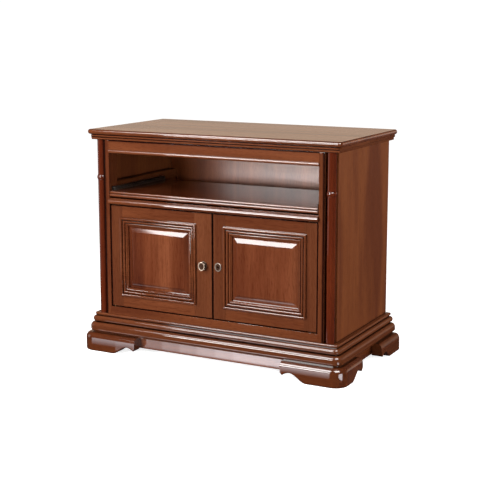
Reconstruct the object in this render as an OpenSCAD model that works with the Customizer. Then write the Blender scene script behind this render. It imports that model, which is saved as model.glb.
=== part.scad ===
// A low television cabinet in lacquered wood: a moulded top on two round corner columns, an open
// niche over a pull-out shelf, and a two-door cupboard on a moulded base with bracket feet.
// Millimetres, +Z up, front towards -Y, origin on the floor at the middle of the bounding box.

/* [Cabinet body] */
// Width over the two side panels
body_w = 952; // [880:4:1080]
// Depth from the face of the front rails to the back edge
body_d = 500; // [456:4:560]
// Height between the base moulding and the cornice
body_h = 650; // [620:5:740]
// Distance that the columns and rails stand in front of the moulded frames
face_out = 16; // [12:1:20]
// Thickness of the side panels
side_t = 20; // [16:1:24]
// Thickness of the inner boards and both shelves
board_t = 18; // [15:1:20]
// Thickness of the back panel
back_t = 8; // [6:1:12]

/* [Front frame] */
// Width of the visible face of each corner post
post_face_w = 21; // [18:1:28]
// Depth of the lap of each corner post behind its column
post_lap = 18; // [12:1:24]
// Thickness of the three front rails
rail_t = 22; // [20:1:26]
// Height of the rail under the cornice
frieze_h = 47; // [40:1:60]
// Radius of the bead along the lower edge of that rail
frieze_bead_r = 6; // [4:0.5:8]
// Height of the open niche above the pull-out shelf
niche_h = 140; // [120:2:170]
// Height of the rail above the doors
mid_rail_h = 23; // [21:1:28]
// Radius of the nose of that rail
mid_nose_r = 9; // [6:0.5:10]
// Distance that the nose stands in front of the rail
mid_nose_out = 11; // [6:0.5:14]
// Height of the rail below the doors
bottom_rail_h = 30; // [26:1:40]

/* [Corner columns] */
// Radius of each column
column_r = 15; // [12:0.5:17]
// Room between a column and the post beside it
column_room = 5; // [4.5:0.5:8]
// Distance that the turned ring stands out of the column
ring_out = 3; // [1.5:0.5:3.5]
// Height of the turned ring
ring_h = 16; // [12:1:22]
// Height of the ring's middle above the pull-out shelf
ring_rise = 48; // [30:1:80]

/* [Top] */
// Thickness of the top board, with its round edge
top_t = 18; // [16:1:22]
// Overhang of the top board over its frame
top_out = 30; // [26:1:36]
// Radius of the top board's front corners
top_corner_r = 13; // [12:1:18]
// Height of the cornice moulding under the top board
cornice_h = 20; // [16:1:24]
// Overhang of the face of the cornice moulding
cornice_out = 18; // [16:1:22]
// Width of the cornice frame behind its moulded edge
cornice_in = 38; // [36:1:60]

/* [Base moulding] */
// Height of the base moulding
base_h = 74; // [72:1:84]
// Width of the base frame behind the face of the cabinet
base_in = 38; // [36:1:60]
// Radius of the thin bead along the top
cap_r = 5; // [3.5:0.5:5]
// Overhang of that bead
cap_out = 20; // [18:1:22]
// Radius of the upper round band
upper_band_r = 11; // [8:0.5:11]
// Overhang of the upper round band
upper_band_out = 28; // [24:1:30]
// Radius of the lower round band
lower_band_r = 17; // [13:0.5:17]
// Overhang of the lower round band
lower_band_out = 38; // [34:1:40]

/* [Apron and feet] */
// Height of the feet
foot_h = 66; // [56:1:80]
// Overhang of the feet
foot_out = 56; // [50:1:60]
// Length of the flat pad under the front wing of a front foot
front_pad_l = 136; // [110:2:150]
// Run of that wing's arch, from the pad up to its peak
front_arch_l = 64; // [44:2:80]
// Length of the flat pad under a side wing
side_pad_l = 88; // [72:2:104]
// Run of a side wing's arch, from the pad up to its peak
side_arch_l = 56; // [40:2:62]
// Height of the arches' peak
arch_rise = 30; // [24:1:36]
// Run of the cusp, from the peak down to its tip
cusp_l = 28; // [16:1:34]
// Height of the cusp's tip
cusp_z = 19; // [12:1:21]
// Radius of the round shoulder at the top of the feet
shoulder_r = 26; // [22:1:32]
// Height of that shoulder
shoulder_h = 22; // [14:1:22]
// Length of the plain back wing of the rear feet
rear_wing_l = 120; // [90:5:150]
// Thickness of the plain back wing
rear_wing_t = 18; // [14:1:22]
// Height of the recessed apron between the feet
apron_h = 42; // [30:1:50]
// Thickness of the apron
apron_t = 18; // [14:1:22]
// Distance that the apron stands in front of its frame
apron_out = 14; // [10:1:16]
// Width of the glue blocks inside the feet
block_w = 46; // [36:1:56]

/* [Doors] */
// Thickness of the door frames
door_t = 22; // [20:1:24]
// Setback of the doors behind the front rails
door_setback = 3; // [1:0.5:4]
// Gap round the doors
door_gap = 3; // [2.6:0.1:4]
// Gap between the two doors
meeting_gap = 2.5; // [2:0.1:4]
// Distance from the middle of the cabinet to the gap between the doors
meeting_shift = 11.75; // [0:0.25:14]
// Visible width of the hinge stiles
hinge_face = 41; // [36:1:50]
// Distance from the middle of the cabinet to each door's moulding
panel_from_middle = 55; // [52:1:64]
// Visible height of the door rails
door_rail_face = 42; // [36:1:52]
// Width of the moulding round each door panel
moulding_w = 32; // [28:1:36]
// Width of the part of the moulding that lies on the frame
moulding_lap = 8; // [6:0.5:10]
// Distance that the moulding stands in front of the frame
moulding_rise = 8; // [5:0.5:9]
// Width of the bevel round the raised field of the panel
bevel_w = 14; // [10:1:18]
// Height of the raised field above the panel's edge
bevel_rise = 7; // [5:0.5:9]
// Width of the flat margin between moulding and bevel
margin_w = 7; // [4:1:10]
// Thickness of the panel's edge
panel_edge_t = 6; // [5:0.5:8]
// Depth of the groove that holds the panel
groove_d = 8; // [6:0.5:10]

/* [Hinges] */
// Distance from a door's outer edge to its pivot
pivot_in = 9; // [8:0.5:11]
// Distance from a door's face to its pivot
pivot_back = 7; // [6:0.5:9]
// Radius of the pivot pins
pivot_r = 2.5; // [2:0.25:3]
// Length of the hinge leaves
leaf_l = 34; // [28:1:36]
// Width of the hinge leaves
leaf_w = 11; // [9:0.5:12]
// Thickness of the hinge leaves
leaf_t = 2.5; // [2:0.25:3]

/* [Lock] */
// Distance from the left door's free edge to the key
key_backset = 35.5; // [34:0.5:42]
// Radius of the key's shaft
key_r = 3; // [2.5:0.25:3]
// Length of the key's bit from the shaft's axis
bit_l = 9; // [8:0.5:10]
// Thickness of the key's bit
bit_t = 2.5; // [2:0.25:3]
// Distance from the escutcheon to the key's bow
key_reach = 15; // [10:1:25]
// Width of the key's bow and of the escutcheons
plate_w = 26; // [22:1:28]
// Height of the key's bow and of the escutcheons
plate_h = 33; // [30:1:40]
// Thickness of the escutcheons
plate_t = 2; // [1.5:0.25:3]
// Thickness of the key's bow
bow_t = 3.5; // [3:0.25:5]
// Distance that the lock bolt travels
bolt_throw = 12; // [10:0.5:13]
// Height of the lock bolt
bolt_h = 12; // [9:0.5:13]
// Thickness of the lock bolt
bolt_t = 5; // [4:0.25:6]
// Thickness of the strike plate
strike_t = 2; // [1.5:0.25:2.5]

/* [Slide bolts] */
// Radius of the slide bolts on the back of the right door
slide_r = 3; // [2.5:0.25:3.5]
// Distance that the slide bolts travel
slide_throw = 18; // [14:0.5:18]
// Spacing of the two guides of a slide bolt
guide_pitch = 42; // [38:1:50]

/* [Pull-out shelf] */
// Height of the moulded front lip
lip_h = 20; // [18:1:26]
// Thickness of the lip
lip_t = 18; // [14:1:20]
// Gap at each end of the lip
lip_gap = 3; // [2:0.5:4]
// Gap under the lip
lip_room = 5.5; // [4:0.5:8]
// Length of the telescopic runners
runner_l = 350; // [300:10:370]
// Height of the telescopic runners
runner_h = 35; // [30:1:38]
// Width of a closed runner
runner_w = 12.7; // [12:0.1:14]
// Thickness of the runners' steel
runner_t = 1.2; // [1:0.1:1.4]
// Height of the wooden cleats that carry the runners
cleat_h = 56; // [46:1:70]

/* [Inner shelf] */
// Height of the inner shelf's underside above the cupboard floor
shelf_rise = 180; // [130:5:230]
// Distance from the corner posts to the shelf's front edge
shelf_setback = 10; // [4:1:80]
// Radius of the shelf pins
shelf_pin_r = 2.5; // [2:0.5:3]
// Length of a shelf pin inside the side panel, and of its free end
shelf_pin_l = 9; // [7:1:11]

/* [Hidden] */
$fn = 48;
// Clearance between a shaft and its bore
run = 0.05;
// Clearance between flat or curved faces that pass each other
slip = 0.4;
// Overreach of a cutting shape
eps = 1;
// Gap under a piece that rests on pins
seat_gap = 0.1;
// Hairline at the mitres of a door moulding
mitre_gap = 0.1;
// Clearance of a bolt's tip in its keeper hole, and of a key in its keyhole
keeper_room = 0.6;

// Back panel screws, and how far the outer ones stand from the side panels
screw_r = 1.75;
screw_head_r = 3.6;
screw_head_h = 2.4;
screw_l = 28;
screw_from_side = 92;

// Small steps of the mouldings
bead_sink = 1;
nose_step = 1;
band_gap = 3;
fillet_in = 9;
cornice_flare = 4;
field_setback = 1;
lip_out = 2;

// Distance of the round corners' axis from the faces of the frame
corner_out = 8;

// Feet: what lies past the cusp, the roll at the floor and the blocks' height above the floor
wing_end_l = 7;
wing_end_rise = 8;
foot_roll = 5;
block_lift = 6;

// Hinges: end of a leaf past the pivot, and reach of the pins beyond the door's leaves
leaf_end = 5;
pin_reach = 2;
pin_end_gap = 1;

// Runners: height above the rail, setback behind the lip, play between the members, and how
// much shorter each member's flanges are than the next one's
runner_lift = 4;
runner_setback = 2;
runner_play = 0.5;
flange_step = 2;
cleat_back_room = 16;
nest = runner_t + runner_play;

// Heights, from the floor up
z_body = foot_h + base_h;
z_body_top = z_body + body_h;
z_floor = z_body + bottom_rail_h;
z_frieze = z_body_top - frieze_h;
z_lip_top = z_frieze - niche_h;
z_lip = z_lip_top - lip_h;
z_mid_top = z_lip - lip_room;
z_mid = z_mid_top - mid_rail_h;
z_door = z_floor + door_gap;
z_door_top = z_mid - door_gap;
z_divider = z_mid_top - board_t;
z_runner = z_mid_top + runner_lift + runner_h / 2;
z_ring = z_lip_top + ring_rise;
z_top = z_body_top + cornice_h;
z_lock = (z_door + z_door_top) / 2;
z_inner = z_floor + shelf_rise;
door_h = z_door_top - z_door;

// Depths, from the front back
y_back = (body_d + foot_out - face_out) / 2;
y_front = y_back - body_d;
y_frame = y_front + face_out;
y_rail_back = y_front + rail_t;
y_column = y_front + 2 * column_r + column_room;
y_post_back = y_column + post_lap;
y_door = y_front + door_setback;
y_door_back = y_door + door_t;
y_board_back = y_back - back_t;
y_edge = y_door + field_setback + bevel_rise;
y_edge_back = y_edge + panel_edge_t;
y_lip = y_front - lip_out;
y_lip_back = y_lip + lip_t;
y_runner = y_lip_back + runner_setback;
y_inner = y_post_back + shelf_setback;

// Widths, from the middle out
half_w = body_w / 2;
half_in = half_w - side_t;
half_column = half_w - 2 * column_r - column_room;
half_open = half_column - post_face_w;
half_runner = half_open - runner_w;
x_hinge = half_open - door_gap;
x_pivot = x_hinge - pivot_in;
y_pivot = y_door + pivot_back;
x_panel = x_hinge - hinge_face;
x_key = meeting_shift - meeting_gap / 2 - key_backset;
x_right_plate = (meeting_shift + meeting_gap / 2 + panel_from_middle) / 2;
function free_edge(s) = meeting_shift + s * meeting_gap / 2;

// Moulding and panel of the doors
z_panel = z_door + door_rail_face;
z_panel_top = z_door_top - door_rail_face;
panel_play = 1;

// Lock on the back of the left door
case_wall = 1.5;
case_h = 58;
case_d = 14;
case_tail = 19;
case_setback = 6;
strike_room = 2;
strike_setback = 1;
strike_l = 26;
strike_over = 8;
tip_setback = 1;
bit_bite = 4;
notch_room = 2;
keyhole_depth = 8;
x_case = free_edge(-1) - case_setback;
x_case_far = x_key - case_tail;
x_bolt_tip = free_edge(-1) - tip_setback;
y_case_back = y_door_back + case_d;
y_bolt = y_door_back + strike_t + strike_room;
bolt_top = z_lock - bit_l + bit_bite;

// Key: dished bow, collar in front of the escutcheon
bow_rim = 3;
bow_dish = 1.2;
collar_w = 2;
collar_h = 3;
y_plate = y_door - plate_t;
y_bow = y_plate - key_reach;

// Slide bolts on the back of the right door, and the wood left beyond their keeper holes
guide_h = 8;
guide_wall = 4;
guide_inset = 6;
guide_back = 2;
rod_spare = 6;
rod_inset = 2;
rod_from_door = 6;
knob_l = 8;
knob_less = 0.2;
knob_room = 1;
keeper_floor = 1.5;
y_slide = y_door_back + rod_from_door;
rod_l = guide_pitch + guide_h + slide_throw + rod_spare;
z_low_guide = z_door + guide_inset;
z_high_guide = z_door_top - guide_inset - guide_h;

// Inner shelf and door stops
shelf_play = 1.5;
shelf_back_room = 6;
pin_from_front = 40;
pin_from_back = 50;
stop_from_middle = 120;
stop_l = 40;
stop_d = 14;
stop_drop = 7;

wood = [0.42, 0.16, 0.08];
wood_dark = [0.33, 0.11, 0.06];
wood_plain = [0.55, 0.38, 0.24];
metal = [0.62, 0.60, 0.56];
metal_dark = [0.20, 0.19, 0.18];

// Shared shapes

// A box from three [low, high] pairs
module block(x, y, z) {
    translate([min(x), min(y), min(z)])
        cube([max(x) - min(x), max(y) - min(y), max(z) - min(z)]);
}

// The right-hand shape, or its mirror image on the left
module on_side(s) {
    if (s < 0) mirror([1, 0, 0]) children();
    else children();
}

// A section drawn as [distance out of a face, height], run along the face at depth y
module run_front(y, length) {
    translate([-length / 2, y, 0]) rotate([90, 0, 90])
        linear_extrude(length) mirror([1, 0]) children();
}

// The same section run along the right side, back from a given depth
module run_side(y_from, y_to) {
    translate([half_w, y_to, 0]) rotate([90, 0, 0])
        linear_extrude(y_to - y_from) children();
}

// The same section turned about an upright axis, for the round corner on the right
module turn_corner(axis_out) {
    translate([half_w + axis_out, y_frame - axis_out, 0]) rotate_extrude() intersection() {
        translate([-axis_out, 0]) children();
        square([foot_out, z_top + top_t]);
    }
}

// Plan of a front piece with mitred ends, from out in front to in behind the frame's face
module front_plan(out, in, z) {
    translate([0, 0, z[0]]) linear_extrude(z[1] - z[0]) polygon([
        [-half_w - out, y_frame - out], [half_w + out, y_frame - out],
        [half_w - in, y_frame + in], [-half_w + in, y_frame + in]]);
}

// Plan of a right side piece with its front end mitred
module side_plan(out, in, z) {
    translate([0, 0, z[0]]) linear_extrude(z[1] - z[0]) polygon([
        [half_w + out, y_frame - out], [half_w + out, y_back],
        [half_w - in, y_back], [half_w - in, y_frame + in]]);
}

// Plan of a board between the side panels, notched round the corner posts
module board(z, y_from, y_to) {
    translate([0, 0, z]) linear_extrude(board_t) polygon([
        [-half_open, y_from], [half_open, y_from], [half_open, y_post_back],
        [half_in, y_post_back], [half_in, y_to], [-half_in, y_to],
        [-half_in, y_post_back], [-half_open, y_post_back]]);
}

// A screw in the back panel, its tip pointing to the front
module back_screw(grow) {
    rotate([90, 0, 0]) union() {
        cylinder(h = screw_l, r = screw_r + grow);
        cylinder(h = screw_head_h, r1 = screw_head_r + grow, r2 = screw_r + grow);
    }
}

screw_pitch = 2 * (half_in - screw_from_side) / 3;
screw_x = [for (k = [-1.5:1:1.5]) k * screw_pitch];
screw_z = [z_floor - board_t / 2, z_divider + board_t / 2, z_body_top - board_t / 2];
module all_back_screws(grow) {
    for (x = screw_x)
        for (z = screw_z)
            translate([x, y_back, z]) back_screw(grow);
}

// Carcase: panels, posts and columns

module side_panel(s) {
    color(wood) difference() {
        on_side(s) block([half_in, half_w], [y_column, y_back], [z_body, z_body_top]);
        on_side(s) pin_places() rotate([0, 90, 0]) cylinder(h = shelf_pin_l + slip, r = shelf_pin_r + run);
    }
}
module side_panel_left() side_panel(-1);
module side_panel_right() side_panel(1);

// The corner post's plan is an L, and the column stands in its outer angle
module corner_post(s) {
    color(wood) on_side(s)
        translate([0, 0, z_body]) linear_extrude(body_h) polygon([
            [half_open, y_front], [half_column, y_front], [half_column, y_column],
            [half_in, y_column], [half_in, y_post_back], [half_open, y_post_back]]);
}
module corner_post_left() corner_post(-1);
module corner_post_right() corner_post(1);

// Each column is turned in one piece with its ring of two beads
module column(s) {
    bead_r = ring_h / 4;
    color(wood) on_side(s) translate([half_w - column_r, y_front + column_r, z_body])
        rotate_extrude() union() {
            square([column_r, body_h]);
            for (k = [-1, 1])
                translate([column_r + ring_out - bead_r, z_ring - z_body + k * bead_r])
                    circle(bead_r);
            translate([0, z_ring - z_body - ring_h / 2])
                square([column_r + ring_out - bead_r, ring_h]);
        }
}
module column_left() column(-1);
module column_right() column(1);

module bottom_panel() {
    color(wood_dark) difference() {
        board(z_floor - board_t, y_rail_back, y_board_back);
        translate([x_right_plate, y_slide, z_floor - board_t + keeper_floor])
            cylinder(h = board_t, r = slide_r + keeper_room);
        all_back_screws(run);
    }
}

module cupboard_top_panel() {
    color(wood_dark) difference() {
        board(z_divider, y_rail_back, y_board_back);
        translate([x_right_plate, y_slide, z_divider - keeper_floor])
            cylinder(h = board_t, r = slide_r + keeper_room);
        all_back_screws(run);
    }
}

module upper_panel() {
    color(wood_dark) difference() {
        board(z_body_top - board_t, y_rail_back, y_board_back);
        all_back_screws(run);
    }
}

module back_panel() {
    color(wood_dark) difference() {
        block([-half_in, half_in], [y_board_back, y_back], [z_body, z_body_top]);
        all_back_screws(run);
    }
}

module back_panel_screws() {
    color(metal) all_back_screws(0);
}

// Front rails

module frieze_rail() {
    color(wood) union() {
        block([-half_open, half_open], [y_front, y_rail_back], [z_frieze, z_body_top]);
        translate([0, 0, z_frieze + frieze_bead_r]) run_front(y_front, 2 * half_open)
            translate([-bead_sink, 0]) circle(frieze_bead_r);
    }
}

module middle_rail() {
    nose_z = z_mid + nose_step + mid_nose_r;
    color(wood) difference() {
        union() {
            block([-half_open, half_open], [y_front, y_rail_back], [z_mid, z_mid_top]);
            run_front(y_front, 2 * half_open) union() {
                translate([mid_nose_out - mid_nose_r, nose_z]) circle(mid_nose_r);
                translate([-eps, nose_z - mid_nose_r])
                    square([mid_nose_out - mid_nose_r + eps, 2 * mid_nose_r]);
            }
        }
        hinge_pocket(-1, z_mid);
        hinge_pocket(1, z_mid);
    }
}

module bottom_rail() {
    color(wood) difference() {
        block([-half_open, half_open], [y_front, y_rail_back], [z_body, z_floor]);
        hinge_pocket(-1, z_floor);
        hinge_pocket(1, z_floor);
    }
}

// Top board with a full round edge on three sides, over the cornice frame

module top_section() {
    r = top_t / 2;
    translate([top_out - r, z_top + r]) circle(r);
    translate([-eps, z_top]) square([eps + top_out - r, top_t]);
}
module top_board() {
    axis_out = top_out - top_corner_r;
    color(wood) union() {
        block([-half_w, half_w], [y_frame, y_back], [z_top, z_top + top_t]);
        run_front(y_frame, 2 * (half_w + axis_out)) top_section();
        for (s = [-1, 1]) on_side(s) {
            run_side(y_frame - axis_out, y_back) top_section();
            turn_corner(axis_out) top_section();
        }
    }
}

// A flat face below, a cove and a fillet above
module cornice_section() {
    face_h = cornice_h / 2;
    difference() {
        translate([-cornice_in, z_body_top])
            square([cornice_in + cornice_out + cornice_flare, cornice_h]);
        translate([cornice_out, z_body_top - eps]) square([cornice_flare + eps, face_h + eps]);
        translate([cornice_out + cornice_flare, z_body_top + face_h]) circle(cornice_flare);
    }
}
module cornice_front() {
    color(wood) intersection() {
        union() {
            run_front(y_frame, 2 * (half_w + corner_out)) cornice_section();
            for (s = [-1, 1]) on_side(s) turn_corner(corner_out) cornice_section();
        }
        front_plan(foot_out, cornice_in, [z_body_top, z_top]);
    }
}
module cornice_side(s) {
    color(wood) on_side(s) intersection() {
        union() {
            run_side(y_frame - corner_out, y_back) cornice_section();
            turn_corner(corner_out) cornice_section();
        }
        side_plan(foot_out, cornice_in, [z_body_top, z_top]);
    }
}
module cornice_left() cornice_side(-1);
module cornice_right() cornice_side(1);
module cornice_back_batten() {
    x = half_w - cornice_in;
    color(wood_plain) block([-x, x], [y_back - cornice_in, y_back], [z_body_top, z_top]);
}

// Base moulding: a thin bead and two round bands, mitred at the front corners

module base_section() {
    upper_z = z_body - 2 * cap_r - band_gap - upper_band_r;
    lower_z = foot_h + band_gap + lower_band_r;
    translate([-base_in, foot_h]) square([base_in + apron_out, base_h]);
    translate([apron_out - eps, foot_h])
        square([lower_band_out - fillet_in - apron_out + eps, lower_band_r + band_gap]);
    translate([cap_out - cap_r, z_body - cap_r]) circle(cap_r);
    translate([upper_band_out - upper_band_r, upper_z]) circle(upper_band_r);
    translate([lower_band_out - lower_band_r, lower_z]) circle(lower_band_r);
}
module base_moulding_front() {
    color(wood) intersection() {
        union() {
            run_front(y_frame, 2 * (half_w + corner_out)) base_section();
            for (s = [-1, 1]) on_side(s) turn_corner(corner_out) base_section();
        }
        front_plan(foot_out, base_in, [foot_h, z_body]);
    }
}
module base_moulding_side(s) {
    color(wood) on_side(s) intersection() {
        union() {
            run_side(y_frame - corner_out, y_back) base_section();
            turn_corner(corner_out) base_section();
        }
        side_plan(foot_out, base_in, [foot_h, z_body]);
    }
}
module base_moulding_left() base_moulding_side(-1);
module base_moulding_right() base_moulding_side(1);

module base_back_rail() {
    x = half_w - base_in;
    color(wood_plain) block([-x, x], [y_back - base_in, y_back], [foot_h, z_body]);
}

// Apron boards behind the feet

y_apron = y_frame - apron_out;
x_apron = half_w + apron_out;
module apron_front() {
    color(wood) block([-x_apron, x_apron], [y_apron, y_apron + apron_t], [foot_h - apron_h, foot_h]);
}
module apron_side(s) {
    color(wood) on_side(s)
        block([x_apron - apron_t, x_apron], [y_apron + apron_t, y_back], [foot_h - apron_h, foot_h]);
}
module apron_left() apron_side(-1);
module apron_right() apron_side(1);

// Bracket feet

// Points of an arc, from angle a to angle b
function arc(cx, cy, r, a, b, n) = [for (i = [0:n]) [cx + r * cos(a + (b - a) * i / n),
    cy + r * sin(a + (b - a) * i / n)]];

// Section of a wing, drawn as [distance out of the frame's face, height]: a round shoulder over
// an upright face that rolls under at the floor. It reaches in to a given distance
module wing_section(inner) {
    turn = asin(shoulder_h / shoulder_r);
    polygon(concat(
        [[inner, foot_h], [inner, 0], [foot_out - foot_roll, 0]],
        arc(foot_out - foot_roll, foot_roll, foot_roll, -80, 0, 5),
        arc(foot_out - shoulder_r, foot_h - shoulder_h, shoulder_r, 0, turn, 8)));
}

function wing_length(pad, arch_l) = pad + arch_l + cusp_l + wing_end_l;

// Elevation of a wing from the corner to its free end, with the cusped underside
module wing_elevation(pad, arch_l) {
    peak = pad + arch_l;
    turns = 8;
    length = wing_length(pad, arch_l);
    polygon(concat(
        [[0, foot_h], [0, 0], [pad, 0]],
        [for (i = [1:turns]) [pad + arch_l * i / turns, arch_rise * (1 - cos(180 * i / turns)) / 2]],
        [for (i = [1:5]) [peak + cusp_l * i / 5, cusp_z + (arch_rise - cusp_z) * cos(18 * i)]],
        [[length, cusp_z + wing_end_rise], [length, foot_h]]));
}

// A front wing on the right, running from the corner towards the middle
module front_wing() {
    intersection() {
        run_front(y_frame, 2 * (half_w + corner_out)) wing_section(apron_out);
        translate([half_w + foot_out, y_frame, 0]) rotate([90, 0, 0])
            linear_extrude(foot_out) mirror([1, 0]) wing_elevation(front_pad_l, front_arch_l);
    }
}

// The round corner between the wings of a front foot, cut out for the corner of the apron
module foot_corner() {
    x = half_w + corner_out;
    y = y_frame - corner_out;
    room = apron_out - corner_out;
    intersection() {
        difference() {
            turn_corner(corner_out) wing_section(corner_out - eps);
            block([x - eps, x + room], [y - room, y + eps], [-eps, foot_h + eps]);
        }
        block([x, half_w + foot_out], [y_frame - foot_out, y], [0, foot_h]);
    }
}

// A right side wing, running back from the front corner or forward from the back edge
module side_wing_front() {
    intersection() {
        run_side(y_frame - corner_out, y_back) wing_section(apron_out);
        translate([half_w, y_frame - foot_out, 0]) rotate([90, 0, 90])
            linear_extrude(foot_out) wing_elevation(side_pad_l, side_arch_l);
    }
}
module side_wing_rear() {
    intersection() {
        run_side(y_frame, y_back) wing_section(apron_out);
        translate([half_w, y_back, 0]) rotate([90, 0, 90])
            linear_extrude(foot_out) mirror([1, 0]) wing_elevation(side_pad_l, side_arch_l);
    }
}

module foot_front(s) {
    color(wood) on_side(s) union() {
        front_wing();
        side_wing_front();
        foot_corner();
    }
}
module foot_front_left() foot_front(-1);
module foot_front_right() foot_front(1);

module foot_rear(s) {
    color(wood) on_side(s) union() {
        side_wing_rear();
        block([x_apron - apron_t - rear_wing_l, x_apron - apron_t],
              [y_back - rear_wing_t, y_back], [0, foot_h]);
        block([x_apron - apron_t - eps, x_apron + eps],
              [y_back - rear_wing_t, y_back], [0, foot_h - apron_h]);
    }
}
module foot_rear_left() foot_rear(-1);
module foot_rear_right() foot_rear(1);

module foot_blocks() {
    x = x_apron - apron_t;
    color(wood_plain) for (s = [-1, 1]) on_side(s) {
        block([x - block_w, x], [y_apron + apron_t, y_apron + apron_t + block_w],
              [block_lift, foot_h]);
        block([x - block_w, x], [y_back - rear_wing_t - block_w, y_back - rear_wing_t],
              [block_lift, foot_h]);
    }
}

// Doors. s is -1 for the left door and 1 for the right door

// Places of the panel groove, which the stiles and rails share
module panel_room(s) {
    x0 = s * (panel_from_middle + moulding_lap - groove_d);
    x1 = s * (x_panel - moulding_lap + groove_d);
    block([x0, x1], [y_edge - slip / 2, y_edge_back + slip / 2],
          [z_panel + moulding_lap - groove_d, z_panel_top - moulding_lap + groove_d]);
}

module door_stile_blanks(s) {
    block([s * x_hinge, s * (x_panel - moulding_lap)], [y_door, y_door_back], [z_door, z_door_top]);
    block([free_edge(s), s * (panel_from_middle + moulding_lap)], [y_door, y_door_back],
          [z_door, z_door_top]);
}

module door_rails(s) {
    x = [s * (panel_from_middle + moulding_lap), s * (x_panel - moulding_lap)];
    color(wood) difference() {
        union() {
            block(x, [y_door, y_door_back], [z_door, z_panel + moulding_lap]);
            block(x, [y_door, y_door_back], [z_panel_top - moulding_lap, z_door_top]);
        }
        panel_room(s);
    }
}

// The raised panel is the crossing of two bevelled sections, so its bevels meet in mitres
module door_panel(s) {
    inset = moulding_lap - groove_d + panel_play;
    x0 = panel_from_middle + inset;
    x1 = x_panel - inset;
    z0 = z_panel + inset;
    z1 = z_panel_top - inset;
    flat = moulding_w - inset + margin_w;
    top = y_edge - bevel_rise;
    color(wood) on_side(s) intersection() {
        translate([0, 0, z0]) linear_extrude(z1 - z0) polygon([
            [x0, y_edge_back], [x0, y_edge], [x0 + flat, y_edge], [x0 + flat + bevel_w, top],
            [x1 - flat - bevel_w, top], [x1 - flat, y_edge], [x1, y_edge], [x1, y_edge_back]]);
        translate([x0, 0, 0]) rotate([90, 0, 90]) linear_extrude(x1 - x0) polygon([
            [y_edge_back, z0], [y_edge, z0], [y_edge, z0 + flat], [top, z0 + flat + bevel_w],
            [top, z1 - flat - bevel_w], [y_edge, z1 - flat], [y_edge, z1], [y_edge_back, z1]]);
    }
}

// Section of the moulding, drawn as [distance in from its outer edge, depth]. Its outer bead
// lies flat on the door frame
module moulding_section() {
    bead = 4.5;
    small = 3.5;
    foot = 3;
    crest = y_door - moulding_rise + bead;
    low = y_edge - foot - small;
    difference() {
        union() {
            polygon([[0, y_door], [0, crest], [2 * bead, crest], [moulding_w - 3 * small, low],
                     [moulding_w - small, low], [moulding_w, low + small / 3], [moulding_w, y_edge],
                     [moulding_lap, y_edge], [moulding_lap, y_door]]);
            translate([bead, crest]) circle(bead);
            translate([moulding_w - 2 * small, low]) circle(small);
        }
        translate([-eps, y_door]) square([moulding_lap + eps, 2 * bead]);
    }
}

// Four mitred strips round the panel
module door_moulding(s) {
    x0 = panel_from_middle;
    x1 = x_panel;
    z0 = z_panel;
    z1 = z_panel_top;
    w = moulding_w;
    m = mitre_gap;
    y0 = y_door - moulding_rise - eps;
    deep = y_edge + eps - y0;
    color(wood) on_side(s) {
        intersection() {
            translate([x0, 0, z0]) linear_extrude(z1 - z0) moulding_section();
            translate([0, y0 + deep, 0]) rotate([90, 0, 0]) linear_extrude(deep)
                polygon([[x0, z0 + m], [x0 + w, z0 + w + m], [x0 + w, z1 - w - m], [x0, z1 - m]]);
        }
        intersection() {
            translate([x1, 0, z0]) linear_extrude(z1 - z0) mirror([1, 0]) moulding_section();
            translate([0, y0 + deep, 0]) rotate([90, 0, 0]) linear_extrude(deep)
                polygon([[x1, z0 + m], [x1 - w, z0 + w + m], [x1 - w, z1 - w - m], [x1, z1 - m]]);
        }
        intersection() {
            translate([x0, 0, z0]) rotate([90, 0, 90]) linear_extrude(x1 - x0)
                mirror([1, -1]) moulding_section();
            translate([0, y0 + deep, 0]) rotate([90, 0, 0]) linear_extrude(deep)
                polygon([[x0, z0], [x1, z0], [x1 - w, z0 + w], [x0 + w, z0 + w]]);
        }
        intersection() {
            translate([x0, 0, z1]) rotate([90, 0, 90]) linear_extrude(x1 - x0)
                mirror([0, 1]) mirror([1, -1]) moulding_section();
            translate([0, y0 + deep, 0]) rotate([90, 0, 0]) linear_extrude(deep)
                polygon([[x0, z1], [x1, z1], [x1 - w, z1 - w], [x0 + w, z1 - w]]);
        }
    }
}

// A keyhole: a round hole with a slot below it, cut along the depth
module keyhole(x, y) {
    slot = bit_t / 2 + keeper_room;
    translate([x, max(y), z_lock]) rotate([90, 0, 0])
        cylinder(h = max(y) - min(y), r = key_r + keeper_room);
    block([x - slot, x + slot], y, [z_lock - bit_l - keeper_room, z_lock]);
}

// Room for a hinge leaf, let into a face at z and going down or up from it
module leaf_blank(s, z) {
    x = [s * (x_pivot + leaf_end), s * (x_pivot + leaf_end - leaf_l)];
    block(x, [y_pivot - leaf_w / 2, y_pivot + leaf_w / 2], z);
}
module hinge_pocket(s, z) {
    deep = z == z_mid ? [z - eps, z + leaf_t] : [z - leaf_t, z + eps];
    leaf_blank(s, deep);
}

module door_stiles(s) {
    color(wood) difference() {
        door_stile_blanks(s);
        panel_room(s);
        leaf_blank(s, [z_door - eps, z_door + leaf_t]);
        leaf_blank(s, [z_door_top - leaf_t, z_door_top + eps]);
        for (z = [z_door - eps, z_door_top - leaf_t - pin_reach - pin_end_gap])
            translate([s * x_pivot, y_pivot, z])
                cylinder(h = leaf_t + pin_reach + pin_end_gap + eps, r = pivot_r + slip);
        if (s < 0) keyhole(x_key, [y_door - eps, y_door_back + eps]);
        else keyhole(x_right_plate, [y_door - eps, y_door + keyhole_depth]);
    }
}

module left_door_stiles() door_stiles(-1);
module left_door_rails() door_rails(-1);
module left_door_panel() door_panel(-1);
module left_door_moulding() door_moulding(-1);
module right_door_stiles() door_stiles(1);
module right_door_rails() door_rails(1);
module right_door_panel() door_panel(1);
module right_door_moulding() door_moulding(1);

// Pivot hinges let into the door edges and the rails above and below

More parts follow.
